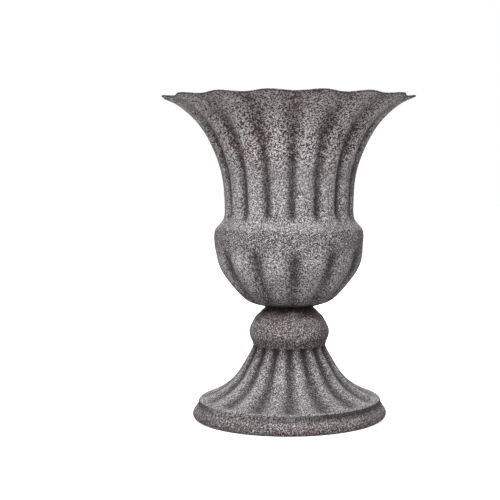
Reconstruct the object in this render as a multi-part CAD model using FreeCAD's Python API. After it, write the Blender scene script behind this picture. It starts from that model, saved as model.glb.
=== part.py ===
import FreeCAD, Part
import math
import os
from FreeCAD import Vector

# Cemetery vase: a fluted bell on a gadrooned bowl, held on a fluted pedestal foot by one screw.
# Lengths are in millimetres, the floor is z = 0, and the vase's own axis is the Z axis.
# Angles round the axis run from the front of the vase (-Y) towards its right side (+X).

# Overall size: over opposite scallops of the rim, which is 125 wide from the front, and up to their tips.
mouth_diameter = 126.0
overall_height = 160.0

# Iron sheet that the bell, the bowl and the foot are pressed from.
sheet_thickness = 0.6

# Pedestal foot, from the floor up: stepped bead, fluted flare, knob, flat top.
bead_height = 8.7
foot_flare_height = 27.1
knob_height = 20.6
bead_radius = 48.6
step_radius = 45.6
waist_radius = 18.35
knob_radius = 19.7
foot_top_radius = 12.3
foot_top_bend = 1.4
foot_bend_middle_share = 0.293
hem_bend = 2.2
hem_width = 2.6
foot_flute_count = 16
foot_flute_phase_degrees = 0.5
foot_flute_depth = 1.35
foot_flute_start = 1.2
foot_flute_stop = 1.2
foot_flute_end_rise = 2.6

# Bowl: flat floor on the foot's top, swelling lobes, plain band up to the shoulder seam.
bowl_depth = 37.3
bowl_radius = 37.2
bowl_floor_radius = 11.8
bowl_lobe_count = 12
bowl_lobe_phase_degrees = 4.5
bowl_lobe_depth = 1.5
bowl_band_height = 7.5
bowl_lobe_fade = 9.0
bowl_floor_fade = 2.5

# Flared bell: turned-in collar, shoulder, fluted neck and scalloped mouth.
shoulder_height = 9.8
shoulder_overhang = 4.6
seam_inset = 0.3
collar_clearance = 0.15
collar_depth = 5.0
bell_flute_count = 16
bell_flute_phase_degrees = 3.2
bell_flute_depth = 1.9
bell_flute_start = 4.6
bell_flute_tip = 5.5
bell_rim_flute_depth = 0.35
bell_flute_fade = 20.0
scallop_depth = 3.0
scallop_reach = 9.0

# One M5 screw holds the bowl on the foot.
screw_radius = 2.5
screw_hole_clearance = 0.25
screw_length = 12.0
screw_head_radius = 4.75
screw_head_height = 3.2
screw_head_crown = 1.4
screw_end_chamfer = 0.5
driver_slot_length = 5.6
driver_slot_width = 1.1
driver_slot_depth = 1.9
driver_slot_count = 2
thread_clearance = 0.04
washer_hole_clearance = 0.15
seal_washer_radius = 7.5
seal_washer_thickness = 1.0
head_washer_radius = 6.5
head_washer_thickness = 0.9
nut_washer_radius = 5.0
nut_washer_thickness = 0.9
lock_washer_radius = 4.4
lock_washer_thickness = 1.2
lock_washer_split = 0.8
lock_washer_slant_degrees = 35
nut_sides = 6
nut_across_flats = 8.0
nut_height = 4.0
nut_chamfer = 0.5

# Outlines as shares. Each pair is a share of a height and a share of a difference in radius.
# Knob, from the foot's top down to its widest line: height share, radius share.
knob_upper_shares = [
    (0.908, 0.07),
    (0.835, 0.25),
    (0.714, 0.57),
    (0.587, 0.84),
    (0.442, 0.975),
    (0.350, 1.0),
]
# Knob, from its widest line down to the waist.
knob_lower_shares = [
    (0.240, 0.80),
    (0.126, 0.34),
    (0.0, 0.0),
]
# Flare of the foot, from the waist down to the step.
foot_flare_shares = [
    (0.945, 0.010),
    (0.834, 0.060),
    (0.701, 0.150),
    (0.524, 0.262),
    (0.347, 0.410),
    (0.199, 0.625),
    (0.100, 0.840),
    (0.038, 0.974),
    (0.020, 0.994),
]
# Step and bead, from the step down to the hem: share of the bead's height,
# and share of the way from the step's radius to the bead's radius.
bead_shares = [
    (0.983, 0.015),
    (0.925, 0.030),
    (0.845, 0.097),
    (0.735, 0.30),
    (0.506, 0.72),
    (0.310, 1.0),
]
# Bead's underside: share of the height below its widest line, share of the hem's bend.
hem_shares = [
    (0.42, 0.20),
    (0.13, 0.55),
]
# Bowl, from the seam down to the floor: share of the depth, share of the swell.
bowl_shares = [
    (0.942, 1.0),
    (0.808, 0.982),
    (0.672, 0.960),
    (0.555, 0.914),
    (0.433, 0.828),
    (0.315, 0.702),
    (0.183, 0.535),
    (0.074, 0.350),
    (0.022, 0.170),
]
# Shoulder, from the seam up to the neck: share of its height, share of its overhang.
shoulder_shares = [
    (0.085, 0.915),
    (0.225, 0.700),
    (0.415, 0.330),
    (0.600, 0.105),
    (0.800, 0.020),
    (1.0, 0.0),
]
# Flare of the bell, from the neck up to the rim.
bell_flare_shares = [
    (0.14, 0.007),
    (0.29, 0.034),
    (0.43, 0.098),
    (0.59, 0.218),
    (0.75, 0.394),
    (0.88, 0.621),
    (0.955, 0.817),
    (1.0, 1.0),
]

# Sharpness of the grooves: 1 is an even wave, and more makes them narrower than the ridges.
bell_neck_sharpness = 3.0
bell_rim_sharpness = 1.0
bowl_sharpness = 2.0
foot_top_sharpness = 1.2
foot_edge_sharpness = 1.0

# How finely the pressed surfaces are sampled.
samples_per_flute = 12
rows_per_point = 3
sew_tolerance = sheet_thickness / 2000
difference_step_share = 0.0005

# Places that follow from the sizes above.
foot_height = bead_height + foot_flare_height + knob_height
waist_height = bead_height + foot_flare_height
seam_height = foot_height + bowl_depth
neck_height = seam_height + shoulder_height
mouth_radius = mouth_diameter / 2
seam_radius = bowl_radius - seam_inset
neck_radius = seam_radius - shoulder_overhang
screw_hole_radius = screw_radius + screw_hole_clearance
washer_hole_radius = screw_radius + washer_hole_clearance
bowl_floor_top = foot_height + sheet_thickness
foot_plate_underside = foot_height - sheet_thickness

full_turn_degrees = 360
half_turn_degrees = 180
origin = Vector(0, 0, 0)
up = Vector(0, 0, 1)
outwards = Vector(1, 0, 0)


def between(start, end, share):
    """Value at a share of the way from start to end."""
    return start + (end - start) * share


def ramp(value, start, end):
    """Smooth rise from 0 at start to 1 at end."""
    share = (value - start) / (end - start)
    share = min(max(share, 0), 1)
    return share * share * (3 - 2 * share)


def at_radius(radius, height):
    """Point of an outline, in the half plane through the axis and +X."""
    return Vector(radius, 0, height)


def around(radius, height, angle):
    """Point at an angle from the front of the vase."""
    return Vector(radius * math.sin(angle), -radius * math.cos(angle), height)


class Fluting:
    """Grooves pressed into a shell, evenly round its axis."""

    def __init__(self, count, phase_degrees, depth_at, sharpness_at):
        self.count = count
        self.phase = math.radians(phase_degrees)
        self.depth_at = depth_at
        self.sharpness_at = sharpness_at

    def swing(self, angle):
        """1 on a groove's centre line, 0 on a ridge."""
        return 0.5 + 0.5 * math.cos(self.count * (angle - self.phase))

    def inset(self, angle, height):
        """How far the sheet is pressed in, square to the outline."""
        return self.depth_at(height) * self.swing(angle) ** self.sharpness_at(height)


class PressedShell:
    """A sheet pressed to an outline turned round the axis, with grooves and perhaps a scalloped edge.

    The outline is the sheet's outside, on the ridges. It runs upwards, so the outside is on its right,
    and a place on it is a distance along the chords between its points.
    """

    def __init__(self, points, start_direction, end_direction, fluting, scallop=0, reach=1):
        self.outline = Part.BSplineCurve()
        self.outline.interpolate(
            Points=points,
            InitialTangent=start_direction.normalize(),
            FinalTangent=end_direction.normalize(),
            Scale=False,
        )
        self.fluting = fluting
        self.first = self.outline.FirstParameter
        self.last = self.outline.LastParameter
        self.scallop = scallop
        self.reach = reach
        self.step = (self.last - self.first) * difference_step_share
        self.angle_step = 2 * math.pi / fluting.count * difference_step_share

    def stations(self, start=None):
        """Places along the outline where rows of points lie, closer together at tight bends."""
        start = self.first if start is None else start
        knots = [start] + [knot for knot in self.outline.getKnots() if knot > start + self.step]
        places = []
        for low, high in zip(knots, knots[1:]):
            for row in range(rows_per_point):
                places.append(between(low, high, row / rows_per_point))
        places.append(knots[-1])
        return places

    def normal(self, place):
        """Direction out of the sheet, in the outline's plane."""
        tangent = self.outline.tangent(place)[0]
        return Vector(tangent.z, 0, -tangent.x)

    def trimmed(self, place, angle):
        """The edge is cut back at the grooves, which leaves the ridges as scallops."""
        fade = ramp(place, self.last - self.reach, self.last)
        return place - self.scallop * fade * self.fluting.swing(angle)

    def outer_point(self, place, angle):
        """Point on the outside of the sheet."""
        place = self.trimmed(place, angle)
        point = self.outline.value(place)
        inset = self.fluting.inset(angle, point.z)
        point = point - self.normal(place) * inset
        return around(point.x, point.z, angle)

    def inner_point(self, place, angle, level=False):
        """Point on the inside of the sheet, one thickness in, or level with the outside point."""
        outer = self.outer_point(place, angle)
        plain = self.normal(place)
        if level:
            return outer - around(sheet_thickness / plain.x, 0, angle)
        if self.fluting.depth_at(outer.z) == 0:
            return outer - around(plain.x, plain.z, angle) * sheet_thickness
        low = max(place - self.step, self.first)
        high = min(place + self.step, self.last)
        along = self.outer_point(high, angle) - self.outer_point(low, angle)
        right = self.outer_point(place, angle + self.angle_step)
        left = self.outer_point(place, angle - self.angle_step)
        outwards_here = (right - left).cross(along).normalize()
        if outwards_here.dot(around(plain.x, plain.z, angle)) < 0:
            outwards_here = outwards_here * -1
        return outer - outwards_here * sheet_thickness

    def plain_inner_point(self, place):
        """Point on the inside of the sheet where it has no grooves."""
        return self.outline.value(place) - self.normal(place) * sheet_thickness

    def surface(self, point_at, places):
        """One closed surface through rings of points, which starts and ends at +X."""
        ring_count = self.fluting.count * samples_per_flute
        turns = [2 * math.pi * sample / ring_count for sample in range(ring_count + 1)]
        ring_poles = []
        for place in places:
            ring = Part.BSplineCurve()
            points = [point_at(place, math.pi / 2 + turn) for turn in turns[:-1]]
            ring.interpolate(Points=points, PeriodicFlag=True, Parameters=turns)
            ring_poles.append(ring.getPoles())
        columns = []
        for rank in range(len(ring_poles[0])):
            column = Part.BSplineCurve()
            column.interpolate(Points=[poles[rank] for poles in ring_poles], Parameters=places)
            columns.append(column.getPoles())
        surface = Part.BSplineSurface()
        surface.buildFromPolesMultsKnots(
            [list(poles) for poles in zip(*columns)],
            column.getMultiplicities(),
            ring.getMultiplicities(),
            column.getKnots(),
            ring.getKnots(),
            False,
            True,
            column.Degree,
            ring.Degree,
        )
        return surface.toShape()


def turned_faces(points):
    """Faces swept by a chain of straight lines that turns round the axis."""
    return Part.makePolygon(points).revolve(origin, up, full_turn_degrees).Faces


def turned_solid(points):
    """Solid swept by a closed outline that turns round the axis."""
    return Part.Face(Part.makePolygon(points + points[:1])).revolve(origin, up, full_turn_degrees)


def closed_solid(faces):
    """Solid inside a closed set of faces."""
    skin = Part.Shape(Part.makeCompound(faces))
    skin.sewShape(sew_tolerance)
    solid = Part.Solid(skin.Shells[0])
    if solid.Volume < 0:
        solid.reverse()
    return solid


def round_edge(face, highest):
    """The closed edge at the top or the bottom of a face that goes all the way round."""
    rings = [edge for edge in face.Edges if edge.isClosed()]
    rings.sort(key=lambda edge: edge.BoundBox.ZMax)
    return rings[-1] if highest else rings[0]


def flared_bell():
    """Bell: shoulder, fluted neck and scalloped mouth, with a collar that fits inside the bowl."""
    # The outline is the outside, so the rim's top is one sheet above its end, less the tilt.
    last_height_share, last_radius_share = bell_flare_shares[-2]
    rim_run = (1 - last_radius_share) * (mouth_radius - neck_radius)
    rim_rise = (1 - last_height_share) * (overall_height - neck_height)
    rim_height = overall_height - sheet_thickness * rim_run / math.hypot(rim_run, rim_rise)
    points = [at_radius(seam_radius, seam_height)]
    for height_share, radius_share in shoulder_shares:
        height = between(seam_height, neck_height, height_share)
        points.append(at_radius(between(neck_radius, seam_radius, radius_share), height))
    for height_share, radius_share in bell_flare_shares:
        height = between(neck_height, rim_height, height_share)
        points.append(at_radius(between(neck_radius, mouth_radius, radius_share), height))

    flute_bottom = seam_height + bell_flute_start
    fade_bottom = overall_height - bell_flute_fade

    def depth_at(height):
        start = ramp(height, flute_bottom, flute_bottom + bell_flute_tip)
        fade = ramp(height, fade_bottom, overall_height)
        return start * between(bell_flute_depth, bell_rim_flute_depth, fade)

    def sharpness_at(height):
        fade = ramp(height, neck_height, overall_height)
        return between(bell_neck_sharpness, bell_rim_sharpness, fade)

    fluting = Fluting(bell_flute_count, bell_flute_phase_degrees, depth_at, sharpness_at)
    shell = PressedShell(
        points,
        points[1] - points[0],
        points[-1] - points[-2],
        fluting,
        scallop_depth,
        scallop_reach,
    )
    # The collar lies inside the bowl's edge, and the inside of the shoulder runs down to it.
    edge_inset = sheet_thickness / shell.normal(shell.first).x
    collar_outer = seam_radius - edge_inset - collar_clearance
    collar_inner = collar_outer - sheet_thickness
    inner_start = shell.first
    while shell.plain_inner_point(inner_start).x > collar_inner:
        inner_start += shell.step
    places = shell.stations()
    inner_places = shell.stations(inner_start)
    inner_foot = shell.plain_inner_point(inner_start)
    outside = shell.surface(shell.outer_point, places)
    inside = shell.surface(shell.inner_point, inner_places)
    rim = Part.makeRuledSurface(round_edge(outside, True), round_edge(inside, True))
    collar = turned_faces([
        at_radius(seam_radius, seam_height),
        at_radius(collar_outer, seam_height),
        at_radius(collar_outer, seam_height - collar_depth),
        at_radius(collar_inner, seam_height - collar_depth),
        inner_foot,
    ])
    return closed_solid([outside, inside, rim] + collar)


def bowl():
    """Bowl: plain band at the top, lobes below it and a flat floor with a screw hole."""
    points = [at_radius(seam_radius, seam_height)]
    for height_share, swell_share in bowl_shares:
        height = between(foot_height, seam_height, height_share)
        points.append(at_radius(between(bowl_floor_radius, bowl_radius, swell_share), height))
    points.append(at_radius(bowl_floor_radius, foot_height))
    points.reverse()

    lobe_top = seam_height - bowl_band_height

    def depth_at(height):
        top = ramp(height, lobe_top, lobe_top - bowl_lobe_fade)
        floor = ramp(height, foot_height, foot_height + bowl_floor_fade)
        return bowl_lobe_depth * top * floor

    def sharpness_at(height):
        return bowl_sharpness

    fluting = Fluting(bowl_lobe_count, bowl_lobe_phase_degrees, depth_at, sharpness_at)
    shell = PressedShell(points, Vector(outwards), points[-1] - points[-2], fluting)

    def inner_point(place, angle):
        return shell.inner_point(place, angle, place >= shell.last)

    places = shell.stations()
    outside = shell.surface(shell.outer_point, places)
    inside = shell.surface(inner_point, places)
    edge = turned_faces([
        at_radius(seam_radius, seam_height),
        at_radius(seam_radius - sheet_thickness / shell.normal(shell.last).x, seam_height),
    ])
    floor = turned_faces([
        at_radius(bowl_floor_radius, foot_height),
        at_radius(screw_hole_radius, foot_height),
        at_radius(screw_hole_radius, bowl_floor_top),
        at_radius(bowl_floor_radius, bowl_floor_top),
    ])
    return closed_solid([outside, inside] + edge + floor)


def pedestal_foot():
    """Foot: flat top with a screw hole, knob, fluted flare, stepped bead and a hem turned in flat."""
    hem_radius = bead_radius - hem_bend
    plate_radius = foot_top_radius - foot_top_bend
    bend_middle = foot_top_bend * foot_bend_middle_share
    bead_widest = bead_height * bead_shares[-1][0]
    points = [at_radius(plate_radius, foot_height)]
    points.append(at_radius(foot_top_radius - bend_middle, foot_height - bend_middle))
    points.append(at_radius(foot_top_radius, foot_height - foot_top_bend))
    for height_share, radius_share in knob_upper_shares:
        height = between(waist_height, foot_height, height_share)
        points.append(at_radius(between(foot_top_radius, knob_radius, radius_share), height))
    for height_share, radius_share in knob_lower_shares:
        height = between(waist_height, foot_height, height_share)
        points.append(at_radius(between(waist_radius, knob_radius, radius_share), height))
    for height_share, radius_share in foot_flare_shares:
        height = between(bead_height, waist_height, height_share)
        points.append(at_radius(between(waist_radius, step_radius, radius_share), height))
    for height_share, radius_share in bead_shares:
        points.append(at_radius(between(step_radius, bead_radius, radius_share), bead_height * height_share))
    for height_share, bend_share in hem_shares:
        points.append(at_radius(bead_radius - hem_bend * bend_share, bead_widest * height_share))
    points.append(at_radius(hem_radius, 0))
    points.reverse()

    flute_top = waist_height - foot_flute_start
    flute_bottom = bead_height + foot_flute_stop

    def depth_at(height):
        top = ramp(height, waist_height, flute_top)
        end = ramp(height, flute_bottom, flute_bottom + foot_flute_end_rise)
        return foot_flute_depth * top * end

    def sharpness_at(height):
        fade = ramp(height, bead_height, waist_height)
        return between(foot_edge_sharpness, foot_top_sharpness, fade)

    fluting = Fluting(foot_flute_count, foot_flute_phase_degrees, depth_at, sharpness_at)
    shell = PressedShell(points, Vector(outwards), outwards * -1, fluting)
    places = shell.stations()
    outside = shell.surface(shell.outer_point, places)
    inside = shell.surface(shell.inner_point, places)
    hem = turned_faces([
        at_radius(hem_radius, 0),
        at_radius(hem_radius - hem_width, 0),
        at_radius(hem_radius - hem_width, sheet_thickness),
        at_radius(hem_radius, sheet_thickness),
    ])
    top = turned_faces([
        at_radius(plate_radius, foot_height),
        at_radius(screw_hole_radius, foot_height),
        at_radius(screw_hole_radius, foot_plate_underside),
        at_radius(plate_radius, foot_plate_underside),
    ])
    return closed_solid([outside, inside] + hem + top)


def washer(hole_radius, radius, thickness, base_height):
    """Flat ring round the screw."""
    ring = Part.makeCylinder(radius, thickness, at_radius(0, base_height))
    return ring.cut(Part.makeCylinder(hole_radius, thickness, at_radius(0, base_height)))


seal_washer_base = bowl_floor_top
head_washer_base = seal_washer_base + seal_washer_thickness
head_seat = head_washer_base + head_washer_thickness
nut_washer_base = foot_plate_underside - nut_washer_thickness
lock_washer_base = nut_washer_base - lock_washer_thickness
nut_base = lock_washer_base - nut_height


def clamp_screw():
    """Pan-head screw with a cross slot, put in from inside the bowl."""
    side_height = screw_head_height - screw_head_crown
    head_top = head_seat + screw_head_height
    end = head_seat - screw_length
    crown_radius = (screw_head_radius ** 2 + screw_head_crown ** 2) / (2 * screw_head_crown)
    body = turned_solid([
        at_radius(0, end),
        at_radius(screw_radius - screw_end_chamfer, end),
        at_radius(screw_radius, end + screw_end_chamfer),
        at_radius(screw_radius, head_seat),
        at_radius(screw_head_radius, head_seat),
        at_radius(screw_head_radius, head_top),
        at_radius(0, head_top),
    ])
    crown = Part.makeSphere(crown_radius, at_radius(0, head_top - crown_radius))
    stem = Part.makeCylinder(screw_head_radius, screw_length + side_height, at_radius(0, end))
    body = body.common(crown.fuse(stem))
    slot = Part.makeBox(
        driver_slot_length,
        driver_slot_width,
        driver_slot_depth,
        Vector(-driver_slot_length / 2, -driver_slot_width / 2, head_top - driver_slot_depth),
    )
    for rank in range(driver_slot_count):
        cutter = slot.copy()
        cutter.rotate(origin, up, half_turn_degrees / driver_slot_count * rank)
        body = body.cut(cutter)
    return body


def lock_washer():
    """Spring ring with a slanting split."""
    ring = washer(washer_hole_radius, lock_washer_radius, lock_washer_thickness, lock_washer_base)
    length = lock_washer_radius * 2
    middle = lock_washer_base + lock_washer_thickness / 2
    corner = Vector(0, -lock_washer_split / 2, middle - length / 2)
    split = Part.makeBox(length, lock_washer_split, length, corner)
    split.rotate(at_radius(0, middle), outwards, lock_washer_slant_degrees)
    return ring.cut(split)


def hex_nut():
    """Hexagon nut with chamfered corners."""
    flat_radius = nut_across_flats / 2
    corner_radius = flat_radius / math.cos(math.pi / nut_sides)
    side_angle = 2 * math.pi / nut_sides
    corners = [around(corner_radius, nut_base, side_angle * rank) for rank in range(nut_sides + 1)]
    prism = Part.Face(Part.makePolygon(corners)).extrude(up * nut_height)
    chamfer_cone = turned_solid([
        at_radius(0, nut_base),
        at_radius(flat_radius, nut_base),
        at_radius(corner_radius + nut_chamfer, nut_base + nut_chamfer),
        at_radius(corner_radius + nut_chamfer, nut_base + nut_height - nut_chamfer),
        at_radius(flat_radius, nut_base + nut_height),
        at_radius(0, nut_base + nut_height),
    ])
    bore = Part.makeCylinder(screw_radius + thread_clearance, nut_height, at_radius(0, nut_base))
    return prism.common(chamfer_cone).cut(bore)


pieces = {
    "flared_bell": flared_bell(),
    "bowl": bowl(),
    "pedestal_foot": pedestal_foot(),
    "clamp_screw": clamp_screw(),
    "head_washer": washer(washer_hole_radius, head_washer_radius, head_washer_thickness, head_washer_base),
    "seal_washer": washer(washer_hole_radius, seal_washer_radius, seal_washer_thickness, seal_washer_base),
    "nut_washer": washer(washer_hole_radius, nut_washer_radius, nut_washer_thickness, nut_washer_base),
    "lock_washer": lock_washer(),
    "hex_nut": hex_nut(),
}

os.makedirs("parts", exist_ok=True)
for name, shape in pieces.items():
    shape.exportStep("parts/" + name + ".step")
    box = shape.BoundBox
    print(
        name,
        "solids", len(shape.Solids),
        "valid", shape.isValid(),
        "volume", round(shape.Volume, 1),
        "from", [round(value, 2) for value in (box.XMin, box.YMin, box.ZMin)],
        "to", [round(value, 2) for value in (box.XMax, box.YMax, box.ZMax)],
    )
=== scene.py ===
import logging
import math
from dataclasses import dataclass
from enum import Enum
from typing import Any, Callable, Sequence

import bpy
import numpy as np
from mathutils import Matrix, Vector


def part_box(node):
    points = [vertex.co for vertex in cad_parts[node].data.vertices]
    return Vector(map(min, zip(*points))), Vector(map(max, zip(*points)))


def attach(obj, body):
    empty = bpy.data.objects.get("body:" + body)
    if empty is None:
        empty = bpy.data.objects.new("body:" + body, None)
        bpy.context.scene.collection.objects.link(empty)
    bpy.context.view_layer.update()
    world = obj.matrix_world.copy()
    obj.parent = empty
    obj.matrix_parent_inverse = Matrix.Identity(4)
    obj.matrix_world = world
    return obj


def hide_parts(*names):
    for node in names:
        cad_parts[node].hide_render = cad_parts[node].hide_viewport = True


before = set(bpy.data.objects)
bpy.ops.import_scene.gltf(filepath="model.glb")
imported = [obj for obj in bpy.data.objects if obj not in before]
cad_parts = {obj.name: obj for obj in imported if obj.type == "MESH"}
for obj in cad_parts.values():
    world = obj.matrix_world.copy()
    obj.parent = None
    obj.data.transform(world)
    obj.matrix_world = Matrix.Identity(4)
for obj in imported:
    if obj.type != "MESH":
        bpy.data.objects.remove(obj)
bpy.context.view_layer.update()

# Sizes in this file are in millimetres and become metres where a mesh, lamp or camera is made.
# Angles round the vase run in degrees from its front (-Y) towards its right side (+X).
MM = 0.001
ROOT = "root"
WHITE = (1.0, 1.0, 1.0, 1.0)

Pair = tuple[float, float]
Pairs = Sequence[Pair]
Colour = tuple[float, float, float, float]
ByHeight = Callable[[np.ndarray], np.ndarray]
Socket = bpy.types.NodeSocket

log = logging.getLogger("vase")


class Slot(Enum):
    """Material slots of the record."""

    STONE = "stone_look_paint"
    ZINC = "zinc_plated_steel"
    RUBBER = "black_rubber"


def between(start: float, end: float, share: Any) -> Any:
    """Value, or values, at a share of the way from start to end."""
    return start + (end - start) * share


def ramp(value: Any, start: float, end: float) -> Any:
    """Smooth rise from 0 at start to 1 at end."""
    share = np.clip((value - start) / (end - start), 0, 1)
    return share * share * (3 - 2 * share)


def trace(shares: Pairs, heights: Pair, radii: Pair) -> list[Pair]:
    """Points of (radius, height), from shares of (height, radius) between two heights and two radii."""
    return [(between(*radii, radius), between(*heights, height)) for height, radius in shares]


def srgb(red: int, green: int, blue: int) -> Colour:
    """Turn a colour as seen on a screen, 0 to 255, into the linear values that shaders take.

    Args:
        red: Red part.
        green: Green part.
        blue: Blue part.

    Returns:
        Linear red, green, blue and an alpha of 1.
    """
    linear = []
    for part in (red, green, blue):
        value = part / 255
        linear.append(value / 12.92 if value <= 0.04045 else ((value + 0.055) / 1.055) ** 2.4)
    return (*linear, 1.0)


class Outline:
    """Smooth line through points of (radius, height), as a cubic spline over its chord length."""

    def __init__(self, points: Pairs, start: Sequence[float], end: Sequence[float]) -> None:
        """Fit the spline.

        Args:
            points: Radius and height of each point, from the bottom up.
            start: Direction in which the line leaves its first point.
            end: Direction in which it reaches its last point.
        """
        self.points = np.array(points, float)
        rises = np.diff(self.points, axis=0)
        steps = np.linalg.norm(rises, axis=1)
        self.places = np.concatenate([[0.0], np.cumsum(steps)])
        self.last = float(self.places[-1])
        count = len(self.points)
        system = np.eye(count)
        right = np.zeros((count, 2))
        right[0] = np.array(start) / np.hypot(*start)
        right[-1] = np.array(end) / np.hypot(*end)
        for rank in range(1, count - 1):
            before, after = steps[rank - 1], steps[rank]
            system[rank, rank - 1: rank + 2] = (1 / before, 2 / before + 2 / after, 1 / after)
            right[rank] = 3 * (rises[rank - 1] / before**2 + rises[rank] / after**2)
        self.slopes = np.linalg.solve(system, right)

    def at(self, places: np.ndarray) -> tuple[np.ndarray, np.ndarray]:
        """Evaluate the line.

        Args:
            places: Distances along the chords, of any shape.

        Returns:
            Points of (radius, height) and unit normals that point out of the sheet.
        """
        rank = np.clip(np.searchsorted(self.places, places, side="right") - 1, 0, len(self.places) - 2)
        width = (self.places[rank + 1] - self.places[rank])[..., None]
        share = (places - self.places[rank])[..., None] / width
        low, high = self.points[rank], self.points[rank + 1]
        low_slope, high_slope = self.slopes[rank] * width, self.slopes[rank + 1] * width
        cube, square = share**3, share**2
        point = (
            (2 * cube - 3 * square + 1) * low
            + (cube - 2 * square + share) * low_slope
            + (3 * square - 2 * cube) * high
            + (cube - square) * high_slope
        )
        tangent = (
            (6 * square - 6 * share) * (low - high)
            + (3 * square - 4 * share + 1) * low_slope
            + (3 * square - 2 * share) * high_slope
        )
        tangent /= np.linalg.norm(tangent, axis=-1, keepdims=True)
        return point, np.stack([tangent[..., 1], -tangent[..., 0]], axis=-1)


@dataclass
class Fluting:
    """Grooves pressed evenly round a shell, each a little different from the next."""

    count: int
    phase: float
    depth: ByHeight
    sharpness: ByHeight
    unevenness: float
    seed: int

    def swing(self, angles: np.ndarray) -> np.ndarray:
        """1 on a groove's centre line, 0 on a ridge."""
        return 0.5 + 0.5 * np.cos(self.count * (angles - math.radians(self.phase)))

    def per_flute(self, angles: np.ndarray, stream: int) -> np.ndarray:
        """Random factor of each flute, changing smoothly from one groove to the next.

        Args:
            angles: Angles round the vase, in radians.
            stream: Number that keeps independent factors apart.

        Returns:
            Factors near 1.
        """
        draws = np.random.default_rng(self.seed + stream).uniform(-1, 1, self.count)
        turn = (angles - math.radians(self.phase)) / (2 * math.pi) * self.count
        rank = np.floor(turn).astype(int)
        share = ramp(turn - rank, 0, 1)
        mixed = between(draws[rank % self.count], draws[(rank + 1) % self.count], share)
        return 1 + self.unevenness * mixed

    def press(self, angles: np.ndarray, heights: np.ndarray) -> np.ndarray:
        """How far in the sheet lies, as a share of the full depth at each height."""
        return self.swing(angles) ** self.sharpness(heights)


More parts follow.
